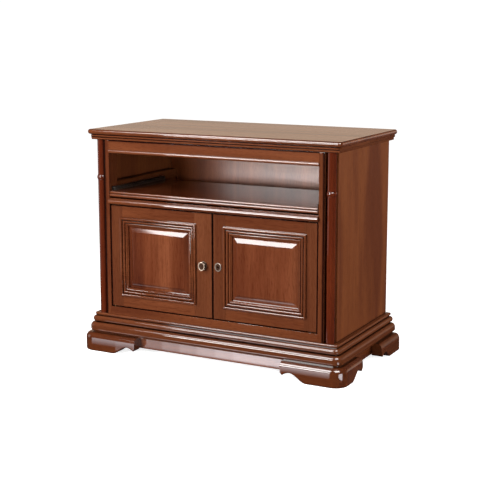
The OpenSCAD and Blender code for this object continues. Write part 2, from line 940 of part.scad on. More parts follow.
module carcase_hinge_leaves() {
    pin_l = leaf_t + door_gap + leaf_t + pin_reach;
    color(metal) for (s = [-1, 1]) {
        leaf_blank(s, [z_floor - leaf_t, z_floor]);
        leaf_blank(s, [z_mid, z_mid + leaf_t]);
        for (z = [z_floor - leaf_t, z_mid + leaf_t - pin_l])
            translate([s * x_pivot, y_pivot, z]) cylinder(h = pin_l, r = pivot_r);
    }
}

module door_hinge_leaves(s) {
    color(metal) difference() {
        union() {
            leaf_blank(s, [z_door, z_door + leaf_t]);
            leaf_blank(s, [z_door_top - leaf_t, z_door_top]);
        }
        translate([s * x_pivot, y_pivot, z_door - eps])
            cylinder(h = door_h + 2 * eps, r = pivot_r + run);
    }
}
module left_door_hinge_leaves() door_hinge_leaves(-1);
module right_door_hinge_leaves() door_hinge_leaves(1);

// Lock, key and escutcheons

// Shield outline: a pointed oval with a small ear at each shoulder
module shield(w, h, ears) {
    r = (w * w + h * h) / (4 * w);
    intersection() {
        translate([r - w / 2, 0]) circle(r);
        translate([w / 2 - r, 0]) circle(r);
    }
    if (ears) for (s = [-1, 1])
        translate([s * 0.34 * w, 0.25 * h]) circle(0.13 * w);
}

module escutcheon(x) {
    color(metal) difference() {
        translate([x, y_door, z_lock]) rotate([90, 0, 0])
            linear_extrude(plate_t) shield(plate_w, plate_h, true);
        keyhole(x, [y_plate - eps, y_door + eps]);
    }
}
module left_escutcheon() escutcheon(x_key);
module right_escutcheon() escutcheon(x_right_plate);

// Key with a dished bow in front, a collar at the escutcheon and the bit inside the lock case
module key() {
    y_end = y_case_back - case_wall - slip;
    color(metal) difference() {
        union() {
            translate([x_key, y_bow + bow_t, z_lock]) rotate([90, 0, 0])
                linear_extrude(bow_t) shield(plate_w, plate_h, true);
            translate([x_key, y_end, z_lock]) rotate([90, 0, 0])
                cylinder(h = y_end - y_bow - bow_t + eps, r = key_r);
            translate([x_key, y_plate - slip, z_lock]) rotate([90, 0, 0])
                cylinder(h = collar_h, r = key_r + collar_w);
            block([x_key - bit_t / 2, x_key + bit_t / 2], [y_bolt, y_bolt + bolt_t],
                  [z_lock - bit_l, z_lock]);
        }
        translate([x_key, y_bow + bow_dish, z_lock]) rotate([90, 0, 0])
            linear_extrude(eps + bow_dish) shield(plate_w - 2 * bow_rim, plate_h - 2 * bow_rim, false);
    }
}

module lock_case() {
    x = [x_case_far, x_case];
    z = [z_lock - case_h / 2, z_lock + case_h / 2];
    color(metal_dark) difference() {
        block(x, [y_door_back, y_case_back], z);
        block([x[0] + case_wall, x[1] - case_wall], [y_door_back - eps, y_case_back - case_wall],
              [z[0] + case_wall, z[1] - case_wall]);
        block([x[1] - case_wall - eps, x[1] + eps], [y_bolt - slip / 2, y_bolt + bolt_t + slip / 2],
              [bolt_top - bolt_h - slip / 2, bolt_top + slip / 2]);
    }
}

// The bolt slides behind the strike plate. The key's bit turns in the notch in its top edge
module lock_bolt() {
    notch = bit_t / 2 + notch_room;
    color(metal) difference() {
        block([x_case_far + case_wall + slip, x_bolt_tip], [y_bolt, y_bolt + bolt_t],
              [bolt_top - bolt_h, bolt_top]);
        block([x_key - notch, x_key + notch], [y_bolt - eps, y_bolt + bolt_t + eps],
              [z_lock - bit_l - notch_room, bolt_top + eps]);
    }
}

module strike_plate() {
    x = free_edge(1) + strike_setback;
    color(metal) block([x, x + strike_l], [y_door_back, y_door_back + strike_t],
                       [bolt_top - bolt_h - strike_over, bolt_top + strike_over]);
}

// Slide bolts that hold the right door at its top and bottom

// A guide on the door's back, bored for the rod
module guide(z) {
    difference() {
        block([x_right_plate - slide_r - guide_wall, x_right_plate + slide_r + guide_wall],
              [y_door_back, y_slide + slide_r + guide_back], [z, z + guide_h]);
        translate([x_right_plate, y_slide, z - eps])
            cylinder(h = guide_h + 2 * eps, r = slide_r + run);
    }
}
module slide_bolt_guides() {
    color(metal) for (z = [z_low_guide, z_low_guide + guide_pitch,
                           z_high_guide, z_high_guide - guide_pitch])
        guide(z);
}

// A rod with its finger knob. z0 is its lower end and knob_z the knob's middle
module slide_bolt(z0, knob_z) {
    color(metal) {
        translate([x_right_plate, y_slide, z0]) cylinder(h = rod_l, r = slide_r);
        translate([x_right_plate, y_slide + slide_r + knob_l, knob_z]) rotate([90, 0, 0])
            cylinder(h = slide_r + knob_l, r = slide_r - knob_less);
    }
}
module upper_slide_bolt() {
    slide_bolt(z_door_top - rod_inset - rod_l,
               z_high_guide - guide_pitch + guide_h + slide_r + knob_room);
}
module lower_slide_bolt() {
    slide_bolt(z_door + rod_inset, z_low_guide + guide_pitch - slide_r - knob_room);
}

// Pull-out shelf on telescopic runners

module runner_cleats() {
    color(wood_dark) for (s = [-1, 1]) on_side(s)
        block([half_open, half_in], [y_post_back, y_board_back - cleat_back_room],
              [z_mid_top, z_mid_top + cleat_h]);
}

// A steel channel from depth d0 to d1 inwards from the cleat, its web at the given end
module channel(d0, d1, half_h, web_at_cleat) {
    x0 = half_open - d0;
    x1 = half_open - d1;
    y = [y_runner, y_runner + runner_l];
    web = web_at_cleat ? [x0 - runner_t, x0] : [x1, x1 + runner_t];
    block(web, y, [z_runner - half_h, z_runner + half_h]);
    for (k = [-1, 1])
        block([x0, x1], y, [z_runner + k * half_h, z_runner + k * (half_h - runner_t)]);
}
module runner_outer_members() {
    color(metal_dark) for (s = [-1, 1]) on_side(s)
        channel(0, runner_w - 2 * flange_step, runner_h / 2, true);
}
module runner_middle_members() {
    color(metal_dark) for (s = [-1, 1]) on_side(s)
        channel(nest, runner_w - flange_step, runner_h / 2 - nest, true);
}
module runner_inner_members() {
    color(metal_dark) for (s = [-1, 1]) on_side(s)
        channel(2 * nest, runner_w, runner_h / 2 - 2 * nest, false);
}

module pull_out_shelf() {
    color(wood) block([-half_runner, half_runner], [y_lip_back, y_runner + runner_l],
                      [z_lip_top - board_t, z_lip_top]);
}

module shelf_front_lip() {
    upper = 0.23 * lip_h;
    lower = 0.27 * lip_h;
    x = half_open - lip_gap;
    color(wood) union() {
        block([-x, x], [y_lip + upper, y_lip_back], [z_lip, z_lip_top]);
        translate([-x, y_lip + upper, z_lip_top - upper]) rotate([0, 90, 0])
            cylinder(h = 2 * x, r = upper);
        translate([-x, y_lip + lower, z_lip + lower]) rotate([0, 90, 0])
            cylinder(h = 2 * x, r = lower);
    }
}

// Inner shelf on four pins, and the stops that the doors close against

module pin_places() {
    for (y = [y_inner + pin_from_front, y_board_back - pin_from_back])
        translate([half_in, y, z_inner - shelf_pin_r - seat_gap]) children();
}
module inner_shelf() {
    x = half_in - shelf_play;
    color(wood_dark) block([-x, x], [y_inner, y_board_back - shelf_back_room],
                           [z_inner, z_inner + board_t]);
}
module shelf_pins() {
    color(metal) for (s = [-1, 1]) on_side(s) pin_places()
        translate([-shelf_pin_l, 0, 0]) rotate([0, 90, 0])
            cylinder(h = 2 * shelf_pin_l, r = shelf_pin_r);
}
module door_stops() {
    color(wood_dark) for (x = [-stop_from_middle, stop_from_middle])
        block([x - stop_l / 2, x + stop_l / 2], [y_door_back + slip, y_door_back + stop_d],
              [z_door_top - stop_drop, z_divider]);
}

side_panel_left();
side_panel_right();
corner_post_left();
corner_post_right();
column_left();
column_right();
bottom_panel();
cupboard_top_panel();
upper_panel();
back_panel();
back_panel_screws();
frieze_rail();
middle_rail();
bottom_rail();
top_board();
cornice_front();
cornice_left();
cornice_right();
cornice_back_batten();
base_moulding_front();
base_moulding_left();
base_moulding_right();
base_back_rail();
apron_front();
apron_left();
apron_right();
foot_front_left();
foot_front_right();
foot_rear_left();
foot_rear_right();
foot_blocks();
left_door_stiles();
left_door_rails();
left_door_panel();
left_door_moulding();
right_door_stiles();
right_door_rails();
right_door_panel();
right_door_moulding();
left_escutcheon();
right_escutcheon();
key();
lock_case();
lock_bolt();
strike_plate();
slide_bolt_guides();
upper_slide_bolt();
lower_slide_bolt();
carcase_hinge_leaves();
left_door_hinge_leaves();
right_door_hinge_leaves();
runner_cleats();
runner_outer_members();
runner_middle_members();
runner_inner_members();
pull_out_shelf();
shelf_front_lip();
inner_shelf();
shelf_pins();
door_stops();
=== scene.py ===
from math import cos, pi, radians, sin

import bmesh
import bpy
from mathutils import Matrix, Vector


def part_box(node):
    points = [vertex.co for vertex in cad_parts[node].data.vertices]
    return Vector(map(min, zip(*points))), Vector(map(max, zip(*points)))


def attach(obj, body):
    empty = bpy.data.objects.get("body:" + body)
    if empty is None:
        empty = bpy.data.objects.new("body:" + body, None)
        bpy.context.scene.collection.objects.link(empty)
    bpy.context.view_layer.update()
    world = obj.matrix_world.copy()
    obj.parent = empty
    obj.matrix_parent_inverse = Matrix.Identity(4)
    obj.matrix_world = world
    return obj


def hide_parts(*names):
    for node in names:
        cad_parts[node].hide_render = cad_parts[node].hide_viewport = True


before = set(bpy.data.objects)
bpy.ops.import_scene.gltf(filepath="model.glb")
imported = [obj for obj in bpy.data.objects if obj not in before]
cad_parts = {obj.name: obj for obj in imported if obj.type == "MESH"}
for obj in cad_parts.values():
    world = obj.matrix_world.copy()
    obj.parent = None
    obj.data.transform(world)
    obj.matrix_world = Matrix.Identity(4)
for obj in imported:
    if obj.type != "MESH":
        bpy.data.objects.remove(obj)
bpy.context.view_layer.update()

# The camera: it stands in front and to the right of the cabinet, a little above a seated eye, and
# looks down at the doors through a long lens. The photograph's lens was shifted far down, which kept
# the upright edges parallel; only a little of that shift is taken over.
camera_place = (1.9592, -3.6586, 1.2148)
camera_turn = 27.659
camera_tilt = 9.359
camera_lens = 82.220
camera_shift = -0.08
sensor_width = 36

camera_data = bpy.data.cameras.new("camera")
camera = bpy.data.objects.new("camera", camera_data)
bpy.context.scene.collection.objects.link(camera)
camera.location = camera_place
camera.rotation_euler = (radians(90 - camera_tilt), 0, radians(camera_turn))
camera_data.lens = camera_lens
camera_data.sensor_width = sensor_width
camera_data.shift_y = camera_shift
bpy.context.scene.camera = camera
bpy.context.scene.view_settings.view_transform = "Standard"

# The studio: a plain white floor and a dim room. The wall behind the cabinet is white at the height
# of the horizon and warm above it, where the top mirrors it. The lacquer doesn't mirror the floor,
# because the photograph's lacquer mirrors a dark room.
floor_size = 200
floor_white = (0.80, 0.80, 0.80, 1)
floor_rough = 0.9
floor_glow = 0.80
dark_room = (0.055, 0.050, 0.055)
white_wall = (1.05, 1.05, 1.05)
warm_wall = (1.00, 0.70, 0.50)
wall_foot, wall_head = -0.06, 0.34
wall_side, wall_middle = 0.35, 0.75
wall_bands = ((0, dark_room), (0.05, dark_room), (0.08, white_wall), (0.22, white_wall),
              (0.36, warm_wall), (0.70, warm_wall), (1, dark_room))


def new_paint(name):
    """A new material, with its shader."""
    material = bpy.data.materials.new(name)
    material.use_nodes = True
    return material, material.node_tree.nodes["Principled BSDF"]


def set_sockets(node, values):
    """Sets numbers and colours on a node's sockets."""
    for socket, value in values.items():
        node.inputs[socket].default_value = value


def add_node(tree, kind, values=None, sources=None, **options):
    """Adds a node with its options, the values of its sockets and the sources that feed them."""
    node = tree.nodes.new(kind)
    for option, choice in options.items():
        setattr(node, option, choice)
    set_sockets(node, values or {})
    for socket, source in (sources or {}).items():
        tree.links.new(source, node.inputs[socket])
    return node


def colour_ramp(tree, source, *stops):
    """Turns a value into a colour, by stops that each have a position and a colour."""
    node = add_node(tree, "ShaderNodeValToRGB", sources={"Fac": source})
    elements = node.color_ramp.elements
    while len(elements) < len(stops):
        elements.new(0.5)
    for element, (position, colour) in zip(elements, stops):
        element.position = position
        element.color = (*colour, 1)
    return node.outputs["Color"]


bpy.ops.object.select_all(action="DESELECT")
bpy.ops.mesh.primitive_plane_add(size=floor_size, location=(0, 0, 0))
floor = bpy.context.object
floor.name = "floor"
floor.visible_glossy = False
floor.visible_diffuse = False
floor_paint, floor_shader = new_paint("pale floor")
set_sockets(floor_shader, {"Base Color": floor_white, "Roughness": floor_rough,
                           "Specular IOR Level": 0.0, "Emission Color": (1, 1, 1, 1),
                           "Emission Strength": floor_glow})
floor.data.materials.append(floor_paint)

world = bpy.data.worlds.new("studio")
world.use_nodes = True
bpy.context.scene.world = world
room = world.node_tree
way = add_node(room, "ShaderNodeTexCoord")
axes = add_node(room, "ShaderNodeSeparateXYZ", sources={0: way.outputs["Generated"]})
rise = add_node(room, "ShaderNodeMapRange", {"From Min": wall_foot, "From Max": wall_head},
                {"Value": axes.outputs["Z"]})
wall = colour_ramp(room, rise.outputs["Result"], *wall_bands)
behind = add_node(room, "ShaderNodeMapRange", {"From Min": wall_side, "From Max": wall_middle},
                  {"Value": axes.outputs["Y"]})
walls = add_node(room, "ShaderNodeMix", {"A": (*dark_room, 1)},
                 {"Factor": behind.outputs["Result"], "B": wall}, data_type="RGBA")
room.links.new(walls.outputs["Result"], room.nodes["Background"].inputs["Color"])

# The lamps: a soft key lamp on the left, two fills on the right and pale daylight light the wood.
# Softboxes and low cards that only the lacquer sees give the white shine on panels and mouldings.
daylight_power, daylight_spread = 1.0, 60
daylight_tilt, daylight_turn = 38, -18
card_white = (0.94, 0.94, 1)
card_y, card_gap = -0.300, 0.002
card_top, apron_card_top = 0.050, 0.042
apron_cards, apron_card_step = 7, 0.075
foot_cards, foot_card_step = 5, 0.004
corner_card_place = (0.600, -0.294, 0.028)


def softbox(name, place, aim, width, height, power, colour=(1, 1, 1), seen=True, lights=True):
    """A rectangular studio lamp at a place, turned to a point. The lacquer may mirror it or not,
    and it may light the wood or only show in the lacquer."""
    data = bpy.data.lights.new(name, "AREA")
    data.shape = "RECTANGLE"
    data.size = width
    data.size_y = height
    data.energy = power
    data.color = colour
    lamp = bpy.data.objects.new(name, data)
    bpy.context.scene.collection.objects.link(lamp)
    lamp.location = place
    lamp.rotation_euler = (Vector(aim) - Vector(place)).to_track_quat("-Z", "Y").to_euler()
    lamp.visible_camera = False
    lamp.visible_glossy = seen
    lamp.visible_diffuse = lights


def low_card(left, right, low, high, brightness, step):
    """A white card that stands low in front of the base and shows only in the lacquer of apron and
    feet. Each card of a row stands a little further out, so that no two lie in one plane."""
    width, height = right - left, high - low
    place = ((left + right) / 2, card_y - step * card_gap, (low + high) / 2)
    power = brightness * pi * width * height
    softbox("low card", place, (place[0], 0, place[2]), width, height, power, card_white, lights=False)


softbox("key softbox", (-1.45, -2.20, 2.25), (0, -0.22, 0.48), 1.3, 0.8, 48, seen=False)
softbox("overhead shine", (-1.12, -2.03, 2.72), (0, -0.23, 0.6), 1.6, 1.6, 170, lights=False)
softbox("corner shine", (1.63, -1.37, 2.74), (0.49, -0.23, 0.82), 1.8, 1.8, 220, lights=False)
softbox("left shine", (-2.6, -0.9, 0.5), (0.4, -0.2, 0.4), 1.2, 1.4, 8, lights=False)
softbox("niche softbox", (-1.0, -2.5, 0.86), (0, 0.2, 0.66), 1.0, 0.5, 70)
softbox("right fill", (2.6, -1.9, 0.78), (0, 0, 0.6), 0.8, 0.8, 58, seen=False)
softbox("side fill", (2.9, 1.5, 1.2), (0.5, 0, 0.4), 1.4, 1.4, 85, seen=False)
for step in range(apron_cards):
    low_card(-0.40 + apron_card_step * step, 0.28, 0.004, apron_card_top, 1.9, step)
for step in range(foot_cards):
    low_card(-0.51, -0.315, 0.016 + foot_card_step * step, card_top, 1.0, step)
    low_card(0.285, 0.47, 0.022 + foot_card_step * step, card_top, 1.3, step)
softbox("corner card", corner_card_place, (0, *corner_card_place[1:]), 0.070, 0.050, 0.12, card_white,
        lights=False)

sky_data = bpy.data.lights.new("soft daylight", "SUN")
sky_data.energy = daylight_power
sky_data.angle = radians(daylight_spread)
sky = bpy.data.objects.new("soft daylight", sky_data)
bpy.context.scene.collection.objects.link(sky)
sky.rotation_euler = (radians(daylight_tilt), 0, radians(daylight_turn))
sky.visible_glossy = False

# The side panels: glued-up boards of stained hardwood with upright grain, satin where the front is
# glossy. They stand behind the corner posts, and the boards inside lie between them.
tiny = 1e-5
arris = 0.0008
smooth_angle = 24
white = (1, 1, 1)
streak_brown, streak_light = (0.86, 0.82, 0.78), (1.06, 1.06, 1.06)
pore_brown, edge_shade_brown = (0.70, 0.62, 0.58), (0.10, 0.05, 0.04)
groove_reach = 0.010
grain_strength, grain_depth = 0.10, 0.0003
satin_tones = ((0.085, 0.022, 0.008), (0.128, 0.037, 0.012), (0.152, 0.047, 0.015))


def lacquered_wood(name, grain, shift, tones, coat=1.0, shine=0.05, bare=0.45, recess_shade=0.75, sheen=0.0,
                   edges=()):
    """Stained wood under lacquer: its grain runs along one axis, its tones are the stain's dark,
    middle and light colour, and painted shade darkens its grooves. Edges are planes, each an axis,
    a place and a width, along which painted shade darkens the faces that look to the front or back."""
    material, shader = new_paint(name)
    tree = material.node_tree
    place = add_node(tree, "ShaderNodeTexCoord")

    def stretched(along, across):
        """Places on the wood, with one scale along the grain and another across it."""
        scale = [along if axis == grain else across for axis in "XYZ"]
        mapping = add_node(tree, "ShaderNodeMapping", {"Location": shift, "Scale": scale},
                           {"Vector": place.outputs["Object"]})
        return mapping.outputs["Vector"]

    def noise(vector, detail, roughness=0.5, distortion=0.0):
        """Cloudy values between 0 and 1."""
        texture = add_node(tree, "ShaderNodeTexNoise", {"Scale": 1.0, "Detail": detail,
                           "Roughness": roughness, "Distortion": distortion}, {"Vector": vector})
        return texture.outputs["Fac"]

    def reckon(operation, value, other=0.0):
        """A step of arithmetic on a value, with a number or with another value."""
        is_number = isinstance(other, (int, float))
        values, sources = ({1: other}, {0: value}) if is_number else ({}, {0: value, 1: other})
        return add_node(tree, "ShaderNodeMath", values, sources, operation=operation).outputs[0]

    def times(a, b):
        """One colour multiplied by another."""
        node = add_node(tree, "ShaderNodeMix", {"Factor": 1.0}, {"A": a, "B": b}, data_type="RGBA",
                        blend_type="MULTIPLY")
        return node.outputs["Result"]

    dark, middle, light = tones
    figure = noise(stretched(along=1.1, across=9.0), detail=3, roughness=0.5, distortion=0.5)
    streaks = noise(stretched(along=3.0, across=80.0), detail=4, roughness=0.55, distortion=0.2)
    pores = noise(stretched(along=40.0, across=800.0), detail=2)
    tone = colour_ramp(tree, figure, (0.32, dark), (0.50, middle), (0.70, light))
    fine = colour_ramp(tree, streaks, (0.30, streak_brown), (0.62, streak_light))
    specks = colour_ramp(tree, pores, (0.36, pore_brown), (0.47, white))
    # Painted shade: the colour darkens in grooves and recesses, where shade falls.
    recess = add_node(tree, "ShaderNodeAmbientOcclusion", {"Distance": groove_reach}, samples=6)
    deep = 1 - recess_shade
    recess_shade_tint = (deep, deep * 0.8, deep * 0.7)
    painted_recess_shade = colour_ramp(tree, recess.outputs["AO"], (0.25, recess_shade_tint), (0.80, white))
    colour = times(times(times(tone, fine), specks), painted_recess_shade)
    # Painted shade along the given planes, on the faces that look to the front or back.
    if edges:
        parts = add_node(tree, "ShaderNodeSeparateXYZ", sources={0: place.outputs["Object"]})
        facing = add_node(tree, "ShaderNodeSeparateXYZ", sources={0: place.outputs["Normal"]})
        to_a_side = reckon("LESS_THAN", reckon("ABSOLUTE", facing.outputs["Y"]), 0.5)
        out_of_reach = reckon("MULTIPLY", to_a_side, 10)
        for axis, plane, width in edges:
            distance = reckon("ABSOLUTE", reckon("SUBTRACT", parts.outputs[axis], plane))
            scaled = reckon("ADD", reckon("DIVIDE", distance, width), out_of_reach)
            colour = times(colour, colour_ramp(tree, scaled, (0.35, edge_shade_brown), (1.0, white)))
    tree.links.new(colour, shader.inputs["Base Color"])
    rough = add_node(tree, "ShaderNodeMapRange", {"To Min": bare - 0.08, "To Max": bare + 0.10},
                     {"Value": streaks})
    tree.links.new(rough.outputs["Result"], shader.inputs["Roughness"])
    bump = add_node(tree, "ShaderNodeBump", {"Strength": grain_strength, "Distance": grain_depth},
                    {"Height": pores})
    tree.links.new(bump.outputs["Normal"], shader.inputs["Normal"])
    set_sockets(shader, {"Specular IOR Level": sheen, "Coat Weight": coat, "Coat Roughness": shine})
    return material


def hold(piece):
    """Makes one piece the only selected one, and the active one."""
    bpy.ops.object.select_all(action="DESELECT")
    piece.select_set(True)
    bpy.context.view_layer.objects.active = piece


def start_block(low, high):
    """A block between two corners, left in edit mode for shaping."""
    bpy.ops.object.select_all(action="DESELECT")
    middle = [(a + b) / 2 for a, b in zip(low, high)]
    size = [b - a for a, b in zip(low, high)]
    bpy.ops.mesh.primitive_cube_add(size=1, location=middle, scale=size)
    bpy.ops.object.transform_apply(location=True, rotation=True, scale=True)
    bpy.ops.object.mode_set(mode="EDIT")


def ease_edges(width=arris, segments=2, sharpness=30):
    """Takes the sharpness off every edge that turns by more than an angle."""
    bpy.ops.mesh.select_mode(type="EDGE")
    bpy.ops.mesh.select_all(action="DESELECT")
    bpy.ops.mesh.edges_select_sharp(sharpness=radians(sharpness))
    bpy.ops.mesh.bevel(offset=width, segments=segments, affect="EDGES", clamp_overlap=True)


def finish_piece(name, node, *materials, body="carcase", slot="lacquered_wood"):
    """Leaves edit mode, shades the piece, hangs it on its body and hides its CAD node."""
    bpy.ops.mesh.select_all(action="SELECT")
    bpy.ops.mesh.normals_make_consistent(inside=False)
    bpy.ops.object.mode_set(mode="OBJECT")
    piece = bpy.context.object
    piece.name = name
    for material in materials:
        piece.data.materials.append(material)
    bpy.ops.object.shade_smooth_by_angle(angle=radians(smooth_angle))
    bpy.ops.object.modifier_add(type="WEIGHTED_NORMAL")
    piece.modifiers[-1].keep_sharp = True
    bpy.ops.object.modifier_apply(modifier=piece.modifiers[-1].name)
    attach(piece, body)
    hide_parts(node)
    return piece


satin_upright = lacquered_wood("satin upright wood", "Z", (0.0, 0.0, 0.0), satin_tones, coat=0.12,
                               shine=0.35, bare=0.5, sheen=0.05)
for side in ("left", "right"):
    start_block(*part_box("side_panel_" + side))
    ease_edges()
    finish_piece("side_board_" + side, "side_panel_" + side, satin_upright)

# The corner posts: hardwood under high-gloss lacquer, sawn to an L. A flat strip shows beside the
# niche and the doors, and a lap behind the column joins it to the side panel.
red_brown = ((0.084, 0.0210, 0.0078), (0.114, 0.0318, 0.0115), (0.150, 0.0440, 0.0165))
square_on = 0.9
post_low, post_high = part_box("corner_post_right")
post_face = 0.021
post_edge = post_low.x + post_face
# Painted shade: the post's face darkens along its edge beside the column, where the recess lies in
# shadow.
post_shade_width = 0.010
lap_depth = 0.018
lap_front = post_high.y - lap_depth
post_arris = 0.0012
post_lacquer = lacquered_wood("post lacquer", "Z", (0.21, 0.53, 0.11), red_brown,
                              edges=(("X", post_edge, post_shade_width), ("X", -post_edge, post_shade_width)))


def pick(kind, test):
    """Selects the vertices, edges or faces for which the test holds."""
    bpy.ops.mesh.select_mode(type=kind)
    bpy.ops.mesh.select_all(action="DESELECT")
    mesh = bmesh.from_edit_mesh(bpy.context.object.data)
    for item in {"VERT": mesh.verts, "EDGE": mesh.edges, "FACE": mesh.faces}[kind]:
        if test(item):
            item.select_set(True)


def draw_out(x, y, z):
    """Extrudes the picked faces."""
    bpy.ops.mesh.extrude_region_move(TRANSFORM_OT_translate={"value": (x, y, z)})


def join_flat_faces():
    """Makes one face of all that lie side by side in a plane."""
    bpy.ops.mesh.select_all(action="SELECT")
    bpy.ops.mesh.dissolve_limited(angle_limit=radians(0.5))


def copy_mesh(name, mesh):
    """A piece with its own copy of a mesh, taken in hand."""
    copy = bpy.data.objects.new(name, mesh.copy())
    bpy.context.scene.collection.objects.link(copy)
    hold(copy)
    return copy


def finish_pair(name, node, *materials, body="carcase"):
    """Finishes the right piece of a pair, and its mirror image as the left one."""
    right_piece = finish_piece(name, node, *materials, body=body)
    left_piece = copy_mesh(name + " copy", right_piece.data)
    left_piece.data.materials.clear()
    left_piece.scale.x = -1
    bpy.ops.object.transform_apply(location=True, rotation=True, scale=True)
    bpy.ops.object.mode_set(mode="EDIT")
    left_name, left_node, left_body = (word.replace("right", "left") for word in (name, node, body))
    finish_piece(left_name, left_node, *materials, body=left_body)


start_block(post_low, (post_edge, lap_front, post_high.z))
pick("FACE", lambda face: face.normal.y > square_on)
draw_out(0, lap_depth, 0)
pick("FACE", lambda face: face.normal.x > square_on and face.calc_center_median().y > lap_front)
draw_out(post_high.x - post_low.x - post_face, 0, 0)
join_flat_faces()
ease_edges(post_arris, 3)
finish_pair("post_right", "corner_post_right", post_lacquer)

# The columns: turned from one length of hardwood, with a bold bead between two fine fillets a
# little above the pull-out shelf. They stand free in the angle of the corner posts.
column_tones = ((0.066, 0.010, 0.003), (0.084, 0.014, 0.004), (0.105, 0.019, 0.005))
column_lacquer = lacquered_wood("column lacquer", "Z", (0.37, 0.11, 0.47), column_tones)
column_low, column_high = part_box("column_right")
column_x, column_y, column_z = (column_low + column_high) / 2
column_radius, column_sides = 0.015, 64
ring_middle = 0.651
bead_half, bead_reach, bead_steps = 0.0074, 0.0029, 12
fillets = ((-0.0092, -0.0079), (0.0079, 0.0092))
fillet_reach = 0.0010


def is_upright(face):
    return abs(face.normal.z) < 0.1


def slice_at(place, normal, clear_inner=False, clear_outer=False):
    """Cuts the whole piece along a plane and, where one side goes, closes the cut."""
    bpy.ops.mesh.select_mode(type="EDGE")
    bpy.ops.mesh.select_all(action="SELECT")
    bpy.ops.mesh.bisect(plane_co=place, plane_no=normal, clear_inner=clear_inner,
                        clear_outer=clear_outer, use_fill=clear_inner or clear_outer)


def raise_band(low, high, reach, outward):
    """Draws the outward faces between two heights out of the surface."""
    for height in (low, high):
        slice_at((0, 0, height), (0, 0, 1))
    pick("FACE", lambda face: outward(face) and low < face.calc_center_median().z < high)
    bpy.ops.mesh.extrude_region_shrink_fatten(
        TRANSFORM_OT_shrink_fatten={"value": reach, "use_even_offset": True})
    bpy.ops.mesh.region_to_loop()


bpy.ops.object.select_all(action="DESELECT")
bpy.ops.mesh.primitive_cylinder_add(vertices=column_sides, radius=column_radius,
                                    depth=column_high.z - column_low.z,
                                    location=(column_x, column_y, column_z))
bpy.ops.object.transform_apply(location=True, rotation=True, scale=True)
bpy.ops.object.mode_set(mode="EDIT")
for start, end in fillets:
    raise_band(ring_middle + start, ring_middle + end, fillet_reach, is_upright)
for step in range(bead_steps + 1):
    slice_at((0, 0, ring_middle - bead_half * cos(pi * step / bead_steps)), (0, 0, 1))
for step in range(1, bead_steps):
    height = ring_middle - bead_half * cos(pi * step / bead_steps)
    wider = (column_radius + bead_reach * sin(pi * step / bead_steps)) / column_radius
    pick("VERT", lambda point: abs(point.co.z - height) < tiny)
    bpy.ops.transform.resize(value=(wider, wider, 1), center_override=(column_x, column_y, height))
finish_pair("column_piece_right", "column_right", column_lacquer)

# The boards inside: bottom, cupboard top, upper panel and the thin back, screwed on from behind.
# They are stained and thinly lacquered, and the back shows its upright grain in the niche.
inner_tones = ((0.060, 0.014, 0.005), (0.105, 0.027, 0.009), (0.150, 0.042, 0.015))
back_tones = ((0.105, 0.026, 0.008), (0.165, 0.044, 0.013), (0.225, 0.066, 0.021))
inner_stain = lacquered_wood("inner board stain", "X", (0.2, 0.6, 0.3), inner_tones, coat=0.4, shine=0.2,
                             bare=0.5)
back_stain = lacquered_wood("back panel stain", "Z", (0.9, 0.6, 0.3), back_tones, shine=0.32)


def finish_node(name, material):
    """Gives its finish to a CAD piece that keeps its own shape."""
    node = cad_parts[name]
    node.data.materials[0] = material
    return node


def ease_node(name, material, width=0.0006):
    """Gives a CAD piece its finish and eased edges, its mesh left as it is."""
    node = finish_node(name, material)
    weld = node.modifiers.new("weld", "WELD")
    weld.merge_threshold = tiny
    ease = node.modifiers.new("eased edges", "BEVEL")
    ease.width = width
    ease.segments = 2
    ease.angle_limit = radians(35)
    ease.harden_normals = True


for name in ("bottom_panel", "cupboard_top_panel", "upper_panel"):
    ease_node(name, inner_stain)
ease_node("back_panel", back_stain)

# The back panel's screws: three rows of four countersunk steel screws, zinc plated. They are driven
# from behind into the bottom, the cupboard top and the upper panel, with their heads let in flush.
def plated_metal(name, base, tarnish, rough, grain_size=260, metallic=1.0):
    """Worn metal: tarnish lies in patches and roughens the polish."""
    material, shader = new_paint(name)
    tree = material.node_tree
    place = add_node(tree, "ShaderNodeTexCoord")
    patches = add_node(tree, "ShaderNodeTexNoise", {"Scale": grain_size, "Detail": 5, "Roughness": 0.6},
                       {"Vector": place.outputs["Object"]})
    colour = colour_ramp(tree, patches.outputs["Fac"], (0.35, tarnish), (0.60, base))
    tree.links.new(colour, shader.inputs["Base Color"])
    polish = add_node(tree, "ShaderNodeMapRange", {"To Min": rough + 0.22, "To Max": rough},
                      {"Value": patches.outputs["Fac"]})
    tree.links.new(polish.outputs["Result"], shader.inputs["Roughness"])
    set_sockets(shader, {"Metallic": metallic})
    return material


zinc = plated_metal("zinc plated steel", (0.62, 0.62, 0.60), (0.34, 0.33, 0.31), 0.25)
finish_node("back_panel_screws", zinc)

# The front rails: the frieze under the cornice with its bead, the middle rail with its nose, and
# the plain rail under the doors. They are glossy hardwood, dowelled to the posts, and the lower two
# have pockets for the leaves of the doors' pivot hinges.
frieze_low, frieze_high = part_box("frieze_rail")
# Painted shadow: the frieze darkens along its top, under the cornice's overhang.
frieze_shadow_width = 0.006
rail_lacquer = lacquered_wood("rail lacquer", "X", (0.3, 0.1, 0.7), red_brown,
                              edges=(("Z", frieze_high.z, frieze_shadow_width),))
rail_face_y = post_low.y
hair = 20 * tiny
frieze_bead, frieze_reach = 0.012, 0.005
frieze_round = frieze_reach * 0.98
nose_low, nose_height, nose_reach, nose_round = 0.001, 0.018, 0.011, 0.0088
nose_arris, plain_arris = 0.0005, 0.001
pivot_leaf_x = (0.379, 0.413)
pivot_leaf_y = (-0.2255, -0.2145)
pivot_leaf_t = 0.0025
pocket_past = 0.01


def faces_front(face):
    return face.normal.y < -square_on


